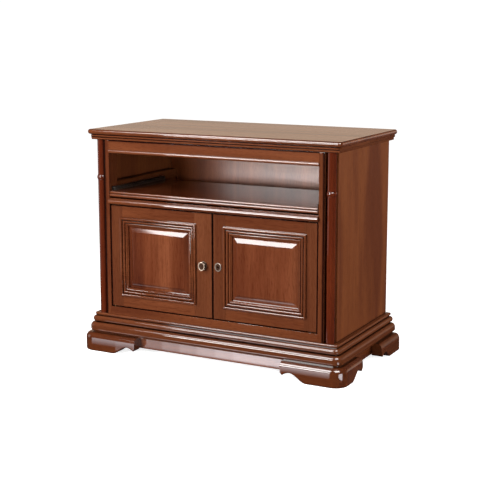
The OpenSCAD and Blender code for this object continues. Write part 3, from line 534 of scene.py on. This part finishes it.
def is_level(edge):
    return abs(edge.verts[0].co.z - edge.verts[1].co.z) < tiny


def round_over(offset, segments, test, profile=0.5):
    """Rounds the edges for which the test holds."""
    pick("EDGE", test)
    bpy.ops.mesh.bevel(offset=offset, segments=segments, profile=profile, affect="EDGES",
                       clamp_overlap=True)


def carve(piece, low, high):
    """Cuts a rectangular pocket into a piece in edit mode, and goes back to edit mode."""
    bpy.ops.object.mode_set(mode="OBJECT")
    start_block(low, high)
    bpy.ops.object.mode_set(mode="OBJECT")
    cutter = bpy.context.object
    hold(piece)
    cut = piece.modifiers.new("pocket", "BOOLEAN")
    cut.object = cutter
    bpy.ops.object.modifier_apply(modifier=cut.name)
    bpy.data.objects.remove(cutter)
    bpy.ops.object.mode_set(mode="EDIT")


def let_in_leaves(low, high):
    """Cuts the pockets for the left and right hinge leaf into the rail, between two heights."""
    rail = bpy.context.object
    inner, outer = pivot_leaf_x
    for left, right in ((-outer, -inner), (inner, outer)):
        carve(rail, (left, pivot_leaf_y[0], low), (right, pivot_leaf_y[1], high))


start_block((frieze_low.x, rail_face_y, frieze_low.z), frieze_high)
raise_band(frieze_low.z + hair, frieze_low.z + frieze_bead, frieze_reach, faces_front)
round_over(frieze_round, 8, lambda edge: is_level(edge) and all(
    point.co.y < rail_face_y - frieze_reach + tiny for point in edge.verts))
ease_edges()
finish_piece("frieze", "frieze_rail", rail_lacquer)

low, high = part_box("middle_rail")
start_block((low.x, rail_face_y, low.z), high)
raise_band(low.z + nose_low, low.z + nose_low + nose_height, nose_reach, faces_front)
round_over(nose_round, 8, lambda edge: is_level(edge) and all(
    point.co.y < rail_face_y - nose_reach + tiny for point in edge.verts))
ease_edges(nose_arris)
let_in_leaves(low.z - pocket_past, low.z + pivot_leaf_t)
finish_piece("middle_rail_with_nose", "middle_rail", rail_lacquer)

low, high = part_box("bottom_rail")
start_block(low, high)
ease_edges(plain_arris, 3)
let_in_leaves(high.z - pivot_leaf_t, high.z + pocket_past)
finish_piece("plain_bottom_rail", "bottom_rail", rail_lacquer)

# The base moulding: three lengths of moulded hardwood, mitred at the front corners, which are
# rounded in plan. From the top it has a thin bead and two round bands. A plain rail of bare wood
# closes its frame at the back.
base_front_tones = ((0.070, 0.0170, 0.0062), (0.095, 0.0265, 0.0098), (0.125, 0.0370, 0.0140))
base_side_tones = ((0.060, 0.015, 0.005), (0.082, 0.022, 0.007), (0.105, 0.030, 0.010))
bare_tones = ((0.32, 0.19, 0.10), (0.45, 0.29, 0.16), (0.56, 0.39, 0.23))
# The base lengths take deeper painted shade in their grooves than the plain wood.
base_front_lacquer = lacquered_wood("front base lacquer", "X", (0.9, 0.3, 0.15), base_front_tones,
                                    coat=0.75, recess_shade=0.9)
base_side_lacquer = lacquered_wood("side base lacquer", "Y", (0.25, 0.7, 0.4), base_side_tones,
                                   coat=0.5, shine=0.22, recess_shade=0.85)
bare_wood = lacquered_wood("bare wood", "X", (0.4, 0.8, 0.3), bare_tones, coat=0.0, shine=0.5, bare=0.7)
body_half = 0.476
frame_y = -0.214
back_y = 0.270
corner_axis = 0.008
base_low, base_high, base_core = 0.066, 0.140, 0.014
moulding_depth = 0.038
# Each band: its lower and upper height, its overhang, and the rounding below and above
base_bands = ((0.0661, 0.0705, 0.029, 0.0, 0.0), (0.0705, 0.1035, 0.038, 0.0088, 0.0158),
              (0.1050, 0.1270, 0.028, 0.0106, 0.0106), (0.1302, 0.1400, 0.020, 0.0047, 0.0047))


def faces_out(face):
    return face.normal.y < -square_on or abs(face.normal.x) > square_on


def lies_at(edge, height):
    return all(abs(point.co.z - height) < tiny for point in edge.verts)


def overhang(point):
    """How far a point lies outside the rectangle of the moulded frames, round corners included."""
    out_x = abs(point.co.x) - body_half - corner_axis
    out_y = frame_y - corner_axis - point.co.y
    if out_x > 0 and out_y > 0:
        return Vector((out_x, out_y)).length + corner_axis
    return max(out_x, out_y) + corner_axis


def runs_round(edge, out):
    """Whether an edge lies along the front or a side of a moulded frame, at an overhang."""
    return (all(abs(overhang(point) - out) < hair for point in edge.verts)
            and not all(point.co.y > back_y - tiny for point in edge.verts))


def moulded_frame(core, low, high, bands):
    """The front and side lengths of a moulding in one, from its core and its bands."""
    start_block((-body_half - core, frame_y - core, low), (body_half + core, back_y, high))
    for band_low, band_high, out, under, over in bands:
        raise_band(band_low, min(band_high, high), out - core, faces_out)
    join_flat_faces()
    for band_low, band_high, out, under, over in bands:
        round_over(out - corner_axis, 10, lambda edge: not is_level(edge)
                   and all(band_low - tiny < point.co.z < band_high + tiny for point in edge.verts)
                   and all(point.co.y < frame_y - out + tiny for point in edge.verts))
    for band_low, band_high, out, under, over in bands:
        for height, offset in ((band_low, under), (band_high, over)):
            if offset:
                round_over(offset, 8, lambda edge: lies_at(edge, height) and runs_round(edge, out))


def finish_lengths(name, node, front_lacquer):
    """Cuts a moulded frame into its mitred lengths: the front one, the right one and the left one."""
    bpy.ops.object.mode_set(mode="OBJECT")
    whole = bpy.context.object
    copy_mesh("front length", whole.data)
    bpy.ops.object.mode_set(mode="EDIT")
    slice_at((body_half, frame_y, 0), (1, 1, 0), clear_outer=True)
    slice_at((-body_half, frame_y, 0), (-1, 1, 0), clear_outer=True)
    slice_at((0, frame_y + moulding_depth, 0), (0, 1, 0), clear_outer=True)
    finish_piece(name + "_front", node + "_front", front_lacquer)
    copy_mesh("side length", whole.data)
    bpy.ops.object.mode_set(mode="EDIT")
    slice_at((body_half, frame_y, 0), (1, 1, 0), clear_inner=True)
    slice_at((body_half - moulding_depth, 0, 0), (1, 0, 0), clear_inner=True)
    finish_pair(name + "_right", node + "_right", base_side_lacquer)
    bpy.data.objects.remove(whole)


moulded_frame(base_core, base_low, base_high, base_bands)
finish_lengths("base", "base_moulding", base_front_lacquer)
ease_node("base_back_rail", bare_wood)

# The aprons: plain boards of lacquered hardwood. They run behind the wings of the feet, set back
# under the base moulding, and show between the feet.
apron_arris = 0.0012
apron_lacquer = lacquered_wood("apron lacquer", "X", (0.15, 0.45, 0.8), red_brown, shine=0.12)
for side, lacquer in (("front", apron_lacquer), ("left", base_side_lacquer),
                      ("right", base_side_lacquer)):
    start_block(*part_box("apron_" + side))
    ease_edges(apron_arris, 3)
    finish_piece("skirt_" + side, "apron_" + side, lacquer)

# The bracket feet: thick hardwood wings, mitred and glued round the corner and backed by blocks.
# Each wing has a rounded shoulder, and its underside rises in an arch to a cusp.
foot_tones = ((0.060, 0.014, 0.004), (0.078, 0.019, 0.006), (0.098, 0.026, 0.008))
foot_lacquer = lacquered_wood("foot lacquer", "X", (0.6, 0.2, 0.35), foot_tones, shine=0.09)
foot_inner, foot_outer, foot_height = 0.014, 0.056, 0.066
corner_x, corner_y = body_half + foot_outer, frame_y - foot_outer
inner_x, inner_y = body_half + foot_inner, frame_y - foot_inner
# Each wing: the length of its flat pad and the run of its arch, and then its whole length
front_wing, front_length = (0.136, 0.064), 0.235
side_wing, side_length = (0.088, 0.056), 0.179
arch_rise, cusp_run, cusp_height, cusp_end = 0.030, 0.028, 0.019, 0.027
arch_steps, cusp_steps = 12, 6
shoulder_round, floor_roll = 0.019, 0.004
downward = -0.2


def underside(run, pad, arch):
    """Height of a wing's underside at a distance from the corner."""
    if run <= pad:
        return 0.0
    if run <= pad + arch:
        return arch_rise * (1 - cos(pi * (run - pad) / arch)) / 2
    if run <= pad + arch + cusp_run:
        return cusp_height + (arch_rise - cusp_height) * cos(pi / 2 * (run - pad - arch) / cusp_run)
    return cusp_end


def stations(pad, arch):
    """Distances from the corner at which a wing's underside bends."""
    return ([pad + arch * k / arch_steps for k in range(arch_steps + 1)]
            + [pad + arch + cusp_run * k / cusp_steps for k in range(1, cusp_steps + 1)])


def on_outside(edge):
    return all(abs(overhang(point) - foot_outer) < hair for point in edge.verts)


def turns_under(edge):
    """Whether an edge joins an upright face to one that looks down."""
    return (any(face.normal.z < downward for face in edge.link_faces)
            and any(is_upright(face) for face in edge.link_faces))


start_block((inner_x, corner_y, 0), (corner_x, inner_y, foot_height))
pick("FACE", lambda face: face.normal.x < -square_on)
draw_out(corner_x - front_length - inner_x, 0, 0)
pick("FACE", lambda face: face.normal.y > square_on and face.calc_center_median().x > inner_x)
draw_out(0, corner_y + side_length - inner_y, 0)
join_flat_faces()
round_over(foot_outer - corner_axis, 16, lambda edge: all(
    point.co.x > corner_x - tiny and point.co.y < corner_y + tiny for point in edge.verts))
for run in stations(*front_wing):
    slice_at((corner_x - run, 0, 0), (1, 0, 0))
for run in stations(*side_wing):
    slice_at((0, corner_y + run, 0), (0, 1, 0))
for run in stations(*front_wing) + [front_length]:
    pick("VERT", lambda point: abs(point.co.x - corner_x + run) < tiny and point.co.z < tiny)
    bpy.ops.transform.translate(value=(0, 0, underside(run, *front_wing)))
for run in stations(*side_wing) + [side_length]:
    pick("VERT", lambda point: abs(point.co.y - corner_y - run) < tiny and point.co.z < tiny)
    bpy.ops.transform.translate(value=(0, 0, underside(run, *side_wing)))
round_over(shoulder_round, 10, lambda edge: on_outside(edge) and lies_at(edge, foot_height))
round_over(floor_roll, 4, lambda edge: on_outside(edge) and turns_under(edge))
finish_pair("bracket_foot_right", "foot_front_right", foot_lacquer)
for name in ("foot_rear_left", "foot_rear_right"):
    ease_node(name, base_side_lacquer)
ease_node("foot_blocks", bare_wood)

# The cornice: three mitred lengths of hardwood moulding, with a flat face, a small cove and a
# fillet. They lie on the body as a frame under the top, which a plain batten closes at the back.
cornice_core, cornice_low, cornice_high = 0.018, 0.790, 0.810
fillet_low, fillet_high, fillet_out, fillet_round = 0.800, 0.8099, 0.022, 0.0056
cornice_bands = ((fillet_low, fillet_high, fillet_out, 0.0, fillet_round),)
cove, cove_hollow = 0.0039, 0.1
# Painted shade: dark lines along the cornice's foot, the top of its fillet and its top, under the
# overhangs.
cornice_painted_shade = (("Z", cornice_low, 0.003), ("Z", 0.8003, 0.003), ("Z", cornice_high, 0.005))
cornice_front_lacquer = lacquered_wood("front cornice lacquer", "X", (0.05, 0.9, 0.6), red_brown,
                                       edges=cornice_painted_shade)

moulded_frame(cornice_core, cornice_low, cornice_high, cornice_bands)
round_over(cornice_core - corner_axis, 8, lambda edge: all(
    point.co.y < frame_y - cornice_core + tiny and point.co.z < fillet_low + tiny
    and abs(point.co.x) > body_half + cornice_core - tiny for point in edge.verts))
round_over(cove, 6, lambda edge: lies_at(edge, fillet_low) and runs_round(edge, fillet_out), cove_hollow)
finish_lengths("cornice_piece", "cornice", cornice_front_lacquer)
ease_node("cornice_back_batten", bare_wood)

# The top: a veneered board with a full round edge on three sides, laid over the cornice. Its edge
# is glossy like the front, and its flat has a satin coat and pale tones, partly its own colour and
# partly a painted sheen of the warm wall it mirrors at a low angle.
top_tones_with_painted_sheen = ((0.150, 0.082, 0.048), (0.235, 0.130, 0.078), (0.310, 0.178, 0.110))
edge_lacquer = lacquered_wood("top edge lacquer", "X", (0.7, 0.2, 0.1), red_brown)
top_satin_painted_sheen = lacquered_wood("top veneer", "X", (0.7, 0.2, 0.1), top_tones_with_painted_sheen, coat=0.60, shine=0.18,
                           bare=0.55)
top_low, top_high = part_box("top_board")
top_corner, top_round = 0.013, 0.0088
level_up = 0.999


def use_second_finish(test):
    """Sets apart the faces that take the second of a piece's finishes."""
    mesh = bmesh.from_edit_mesh(bpy.context.object.data)
    for face in mesh.faces:
        face.material_index = int(test(face))


start_block(top_low, top_high)
round_over(top_corner, 10, lambda edge: not is_level(edge)
           and all(point.co.y < top_low.y + tiny for point in edge.verts))
round_over(top_round, 8, lambda edge: is_level(edge)
           and not all(point.co.y > top_high.y - tiny for point in edge.verts))
use_second_finish(lambda face: face.normal.z > level_up)
finish_piece("top_piece", "top_board", edge_lacquer, top_satin_painted_sheen, slot="top_veneer")

# The doors: hardwood frames of two stiles and two rails, tenoned at the corners and grooved for the
# panel. Painted shade darkens them along their outer edges, where the gaps round the doors lie in
# shadow.
stile_tones = ((0.080, 0.021, 0.008), (0.100, 0.029, 0.011), (0.124, 0.038, 0.015))
door_side_shade, door_end_shade = 0.0045, 0.0025
door_low, door_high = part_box("left_door_stiles")
side_edges = [("X", corner.x, door_side_shade) for which in ("left", "right")
              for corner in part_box(which + "_door_stiles")]
end_edges = [("Z", door_low.z, door_end_shade), ("Z", door_high.z, door_end_shade)]
stile_lacquer = lacquered_wood("stile lacquer", "Z", (0.5, 0.35, 0.9), stile_tones,
                               edges=side_edges + end_edges)
door_rail_lacquer = lacquered_wood("door rail lacquer", "X", (0.45, 0.05, 0.25), red_brown,
                                   edges=end_edges)
for side in ("left", "right"):
    ease_node(side + "_door_stiles", stile_lacquer)
    ease_node(side + "_door_rails", door_rail_lacquer)

# The door panels: solid hardwood fields with a bevelled margin. They lie loose in the grooves of the
# door frames, so that the wood can move.
panel_tones = ((0.055, 0.012, 0.005), (0.107, 0.027, 0.010), (0.158, 0.047, 0.019))
panel_lacquer = lacquered_wood("panel lacquer", "Z", (0.13, 0.27, 0.66), panel_tones)
panel_margin, panel_bevel, panel_rise, panel_edge = 0.038, 0.014, 0.007, 0.006
panel_low, panel_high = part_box("right_door_panel")
start_block((panel_low.x, panel_high.y - panel_edge, panel_low.z), panel_high)
pick("FACE", faces_front)
bpy.ops.mesh.inset(thickness=panel_margin)
bpy.ops.mesh.inset(thickness=panel_bevel, depth=panel_rise)
ease_edges(segments=3, sharpness=20)
finish_pair("right_raised_panel", "right_door_panel", panel_lacquer, body="right_door")

# The door mouldings: four mitred strips round each panel, glued on and lapped over the frame. Each
# strip steps down to the panel in three beads: a bold one outside, a reed and a smaller one inside.
# The mouldings take deep painted shade between their beads.
moulding_upright = lacquered_wood("upright moulding lacquer", "Z", (0.81, 0.15, 0.05), red_brown,
                                  recess_shade=0.94)
moulding_across = lacquered_wood("cross moulding lacquer", "X", (0.11, 0.75, 0.55), red_brown,
                                 recess_shade=0.94)
strip_low, strip_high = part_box("right_door_moulding")
half_width, half_height = (strip_high.x - strip_low.x) / 2, (strip_high.z - strip_low.z) / 2
middle_x, middle_z = (strip_low.x + strip_high.x) / 2, (strip_low.z + strip_high.z) / 2
door_face, panel_face = -0.227, -0.219
moulding_width, moulding_lap = 0.032, 0.008
bold, reed, small = 0.0045, 0.0047, 0.0035
crest, reed_middle, low_bead = door_face - 0.0035, door_face - 0.0002, panel_face - 0.0065
outer_valley, reed_in, inner_valley, inner_edge = 0.0100, 0.0155, 0.0215, moulding_width - 0.0002
valley_depth, edge_depth = low_bead + 0.0010, low_bead + 0.0012


def arc_steps(middle_in, middle_y, radius, count):
    """Points of a half-round, as distances in from the outer edge and depths."""
    return [(middle_in - radius * cos(pi * k / count), middle_y - radius * sin(pi * k / count))
            for k in range(count + 1)]


def upright_strip(face):
    centre = face.calc_center_median()
    return half_width - abs(centre.x - middle_x) < half_height - abs(centre.z - middle_z)


profile = (arc_steps(bold, crest, bold, 10) + [(outer_valley, reed_middle)]
           + arc_steps(reed_in, reed_middle, reed, 10) + [(inner_valley, valley_depth)]
           + arc_steps(moulding_width - 2 * small, low_bead, small, 8)
           + [(inner_edge, edge_depth)])
start_block((strip_low.x, crest, strip_low.z), (strip_high.x, door_face, strip_high.z))
pick("FACE", faces_front)
for (inside, depth), (next_inside, next_depth) in zip(profile, profile[1:]):
    bpy.ops.mesh.inset(thickness=next_inside - inside, depth=depth - next_depth)
bpy.ops.mesh.delete(type="FACE")
pick("FACE", lambda face: face.normal.y > square_on
     and abs(face.calc_center_median().y - door_face) < tiny)
bpy.ops.mesh.inset(thickness=moulding_lap)
draw_out(0, panel_face - door_face, 0)
bpy.ops.mesh.inset(thickness=inner_edge - moulding_lap)
bpy.ops.mesh.delete(type="FACE")
pick("EDGE", lambda edge: edge.is_boundary)
bpy.ops.mesh.bridge_edge_loops()
use_second_finish(upright_strip)
finish_pair("right_moulding", "right_door_moulding", moulding_across, moulding_upright,
            body="right_door")

# The keyhole plates and the key: cast and nickel plated, with painted shade and a painted dark
# reflection in their hollows and on their sides. The plates are pinned to the doors. The key's dished
# bow has their outline, and the left plate behind it is painted dark, as the bow's painted shadow.
painted_dark_brown = (0.070, 0.032, 0.018, 1)
left_keyhole_x, right_keyhole_x, keyhole_z = -0.025, 0.034, 0.36225
plate_half_w, plate_half_h = 0.0130, 0.0165
rim_inside, rim_outside = 0.66, 0.82
plate_arris = 0.0007
# The left plate is painted dark, as painted shadow of the key's bow.
bow_shadow_nickel = plated_metal("worn nickel", (0.15, 0.10, 0.07), (0.07, 0.045, 0.03), 0.25, metallic=0.6)
left_nickel = plated_metal("left nickel", (0.85, 0.67, 0.53), (0.55, 0.40, 0.29), 0.14, metallic=0.6)
right_nickel = plated_metal("right nickel", (0.42, 0.33, 0.27), (0.22, 0.16, 0.12), 0.14, metallic=0.6)


def paint_dark_hollow(material, keyhole_x):
    """Paints the hollow and the sides of a plate or bow dark brown, as painted shade and a painted dark
    reflection, so that only its front rim stays bright.
    """
    tree = material.node_tree
    skin = tree.nodes["Principled BSDF"].inputs["Base Color"]
    nickel = skin.links[0].from_socket
    place = add_node(tree, "ShaderNodeTexCoord")
    middle = (-keyhole_x / plate_half_w, 0, -keyhole_z / plate_half_h)
    from_middle = add_node(tree, "ShaderNodeMapping", {"Location": middle,
                           "Scale": (1 / plate_half_w, 0, 1 / plate_half_h)},
                           {"Vector": place.outputs["Object"]})
    away = add_node(tree, "ShaderNodeVectorMath", sources={0: from_middle.outputs["Vector"]},
                    operation="LENGTH")
    rim = add_node(tree, "ShaderNodeMapRange", {"From Min": rim_inside, "From Max": rim_outside},
                   {"Value": away.outputs["Value"]})
    facing = add_node(tree, "ShaderNodeSeparateXYZ", sources={0: place.outputs["Normal"]})
    front = add_node(tree, "ShaderNodeMapRange", {"From Min": -0.3, "From Max": -0.6},
                     {"Value": facing.outputs["Y"]})
    bright = add_node(tree, "ShaderNodeMath", sources={0: rim.outputs["Result"],
                      1: front.outputs["Result"]}, operation="MULTIPLY")
    # Painted shade and a painted dark reflection: the hollow and the side faces turn dark brown.
    aged = add_node(tree, "ShaderNodeMix", {"A": painted_dark_brown},
                    {"Factor": bright.outputs[0], "B": nickel}, data_type="RGBA")
    tree.links.new(aged.outputs["Result"], skin)


def copy_of_node(name):
    """A merged copy of a CAD node, in edit mode."""
    copy = copy_mesh(name + " copy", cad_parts[name].data)
    copy.data.materials.clear()
    bpy.ops.object.mode_set(mode="EDIT")
    bpy.ops.mesh.select_all(action="SELECT")
    bpy.ops.mesh.remove_doubles(threshold=tiny)
    join_flat_faces()


paint_dark_hollow(left_nickel, left_keyhole_x)
paint_dark_hollow(right_nickel, right_keyhole_x)
for node, name, body, metal in (
        ("left_escutcheon", "left_keyhole_plate", "left_door", bow_shadow_nickel),
        ("right_escutcheon", "right_keyhole_plate", "right_door", right_nickel),
        ("key", "key_with_bow", "key", left_nickel)):
    copy_of_node(node)
    ease_edges(plate_arris, 3)
    finish_piece(name, node, metal, body=body, slot="old_nickel")

# The lock: a case of dark steel on the back of the left door, with a brassed bolt. The bolt slides
# behind a brassed strike plate on the right door's back, and so holds the doors together.
case_arris = 0.0003
dark_steel = plated_metal("dark steel", (0.050, 0.036, 0.028), (0.022, 0.016, 0.012), 0.35,
                          grain_size=180, metallic=0.5)
brassed = plated_metal("brassed steel", (0.66, 0.47, 0.20), (0.36, 0.23, 0.09), 0.26)
ease_node("lock_case", dark_steel, case_arris)
ease_node("lock_bolt", brassed, case_arris)
ease_node("strike_plate", brassed, case_arris)

# The slide bolts: round rods of brassed steel on the right door's back, each with a finger knob.
# Each runs in two guides, and its tip goes into a hole in the bottom or in the cupboard top.
for name in ("slide_bolt_guides", "upper_slide_bolt", "lower_slide_bolt"):
    finish_node(name, brassed)

# The pivot hinges: flat leaves of aged brass let into the doors and rails. Those in the rails carry
# pins at the doors' outer edges, and those in the doors turn on them.
aged_brass = plated_metal("aged brass", (0.20, 0.12, 0.055), (0.08, 0.05, 0.025), 0.35)
for name in ("carcase_hinge_leaves", "left_door_hinge_leaves", "right_door_hinge_leaves"):
    finish_node(name, aged_brass)

# The runners: telescopic channels of dark steel, three to a side. The outer ones are screwed to
# wooden cleats on the side panels, and the inner ones carry the pull-out shelf.
cleat_tones = ((0.050, 0.014, 0.005), (0.075, 0.021, 0.007), (0.100, 0.030, 0.010))
cleat_wood = lacquered_wood("cleat wood", "Y", (0.3, 0.2, 0.9), cleat_tones, coat=0.5, shine=0.2)
ease_node("runner_cleats", cleat_wood)
for name in ("runner_outer_members", "runner_middle_members", "runner_inner_members"):
    finish_node(name, dark_steel)

# The pull-out shelf: a lacquered board between the runners. A hardwood lip of two round beads is
# glued along its front edge.
shelf_tones = ((0.050, 0.010, 0.004), (0.085, 0.019, 0.007), (0.125, 0.032, 0.012))
shelf_lacquer = lacquered_wood("shelf lacquer", "X", (0.55, 0.65, 0.05), shelf_tones, shine=0.10)
lip_lacquer = lacquered_wood("lip lacquer", "X", (0.25, 0.95, 0.45), red_brown)
lip_low, lip_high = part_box("shelf_front_lip")
upper_bead, lower_bead = 0.0046, 0.0054
lip_foot, lip_valley, lip_head = 0.0002, 0.0003, 0.0001
lip_split = lip_low.z + 2 * lower_bead
lip_beads = ((lip_low.z + lip_foot, lip_split - lip_valley),
             (lip_split + lip_valley, lip_high.z - lip_head))
lip_round, lip_arris = upper_bead * 0.97, 0.0005
ease_node("pull_out_shelf", shelf_lacquer)
start_block((lip_low.x, lip_low.y + upper_bead, lip_low.z), lip_high)
for low, high in lip_beads:
    raise_band(low, high, upper_bead, faces_front)
    round_over(lip_round, 6, lambda edge: is_level(edge) and all(
        point.co.y < lip_low.y + tiny and low - tiny < point.co.z < high + tiny for point in edge.verts))
ease_edges(lip_arris)
finish_piece("shelf_lip", "shelf_front_lip", lip_lacquer, body="pull_out_shelf")

# The inner shelf: a stained board that lies loose on four steel pins in the side panels. Two small
# blocks of the same wood stop the doors at the top.
ease_node("inner_shelf", inner_stain)
finish_node("shelf_pins", zinc)
ease_node("door_stops", inner_stain)
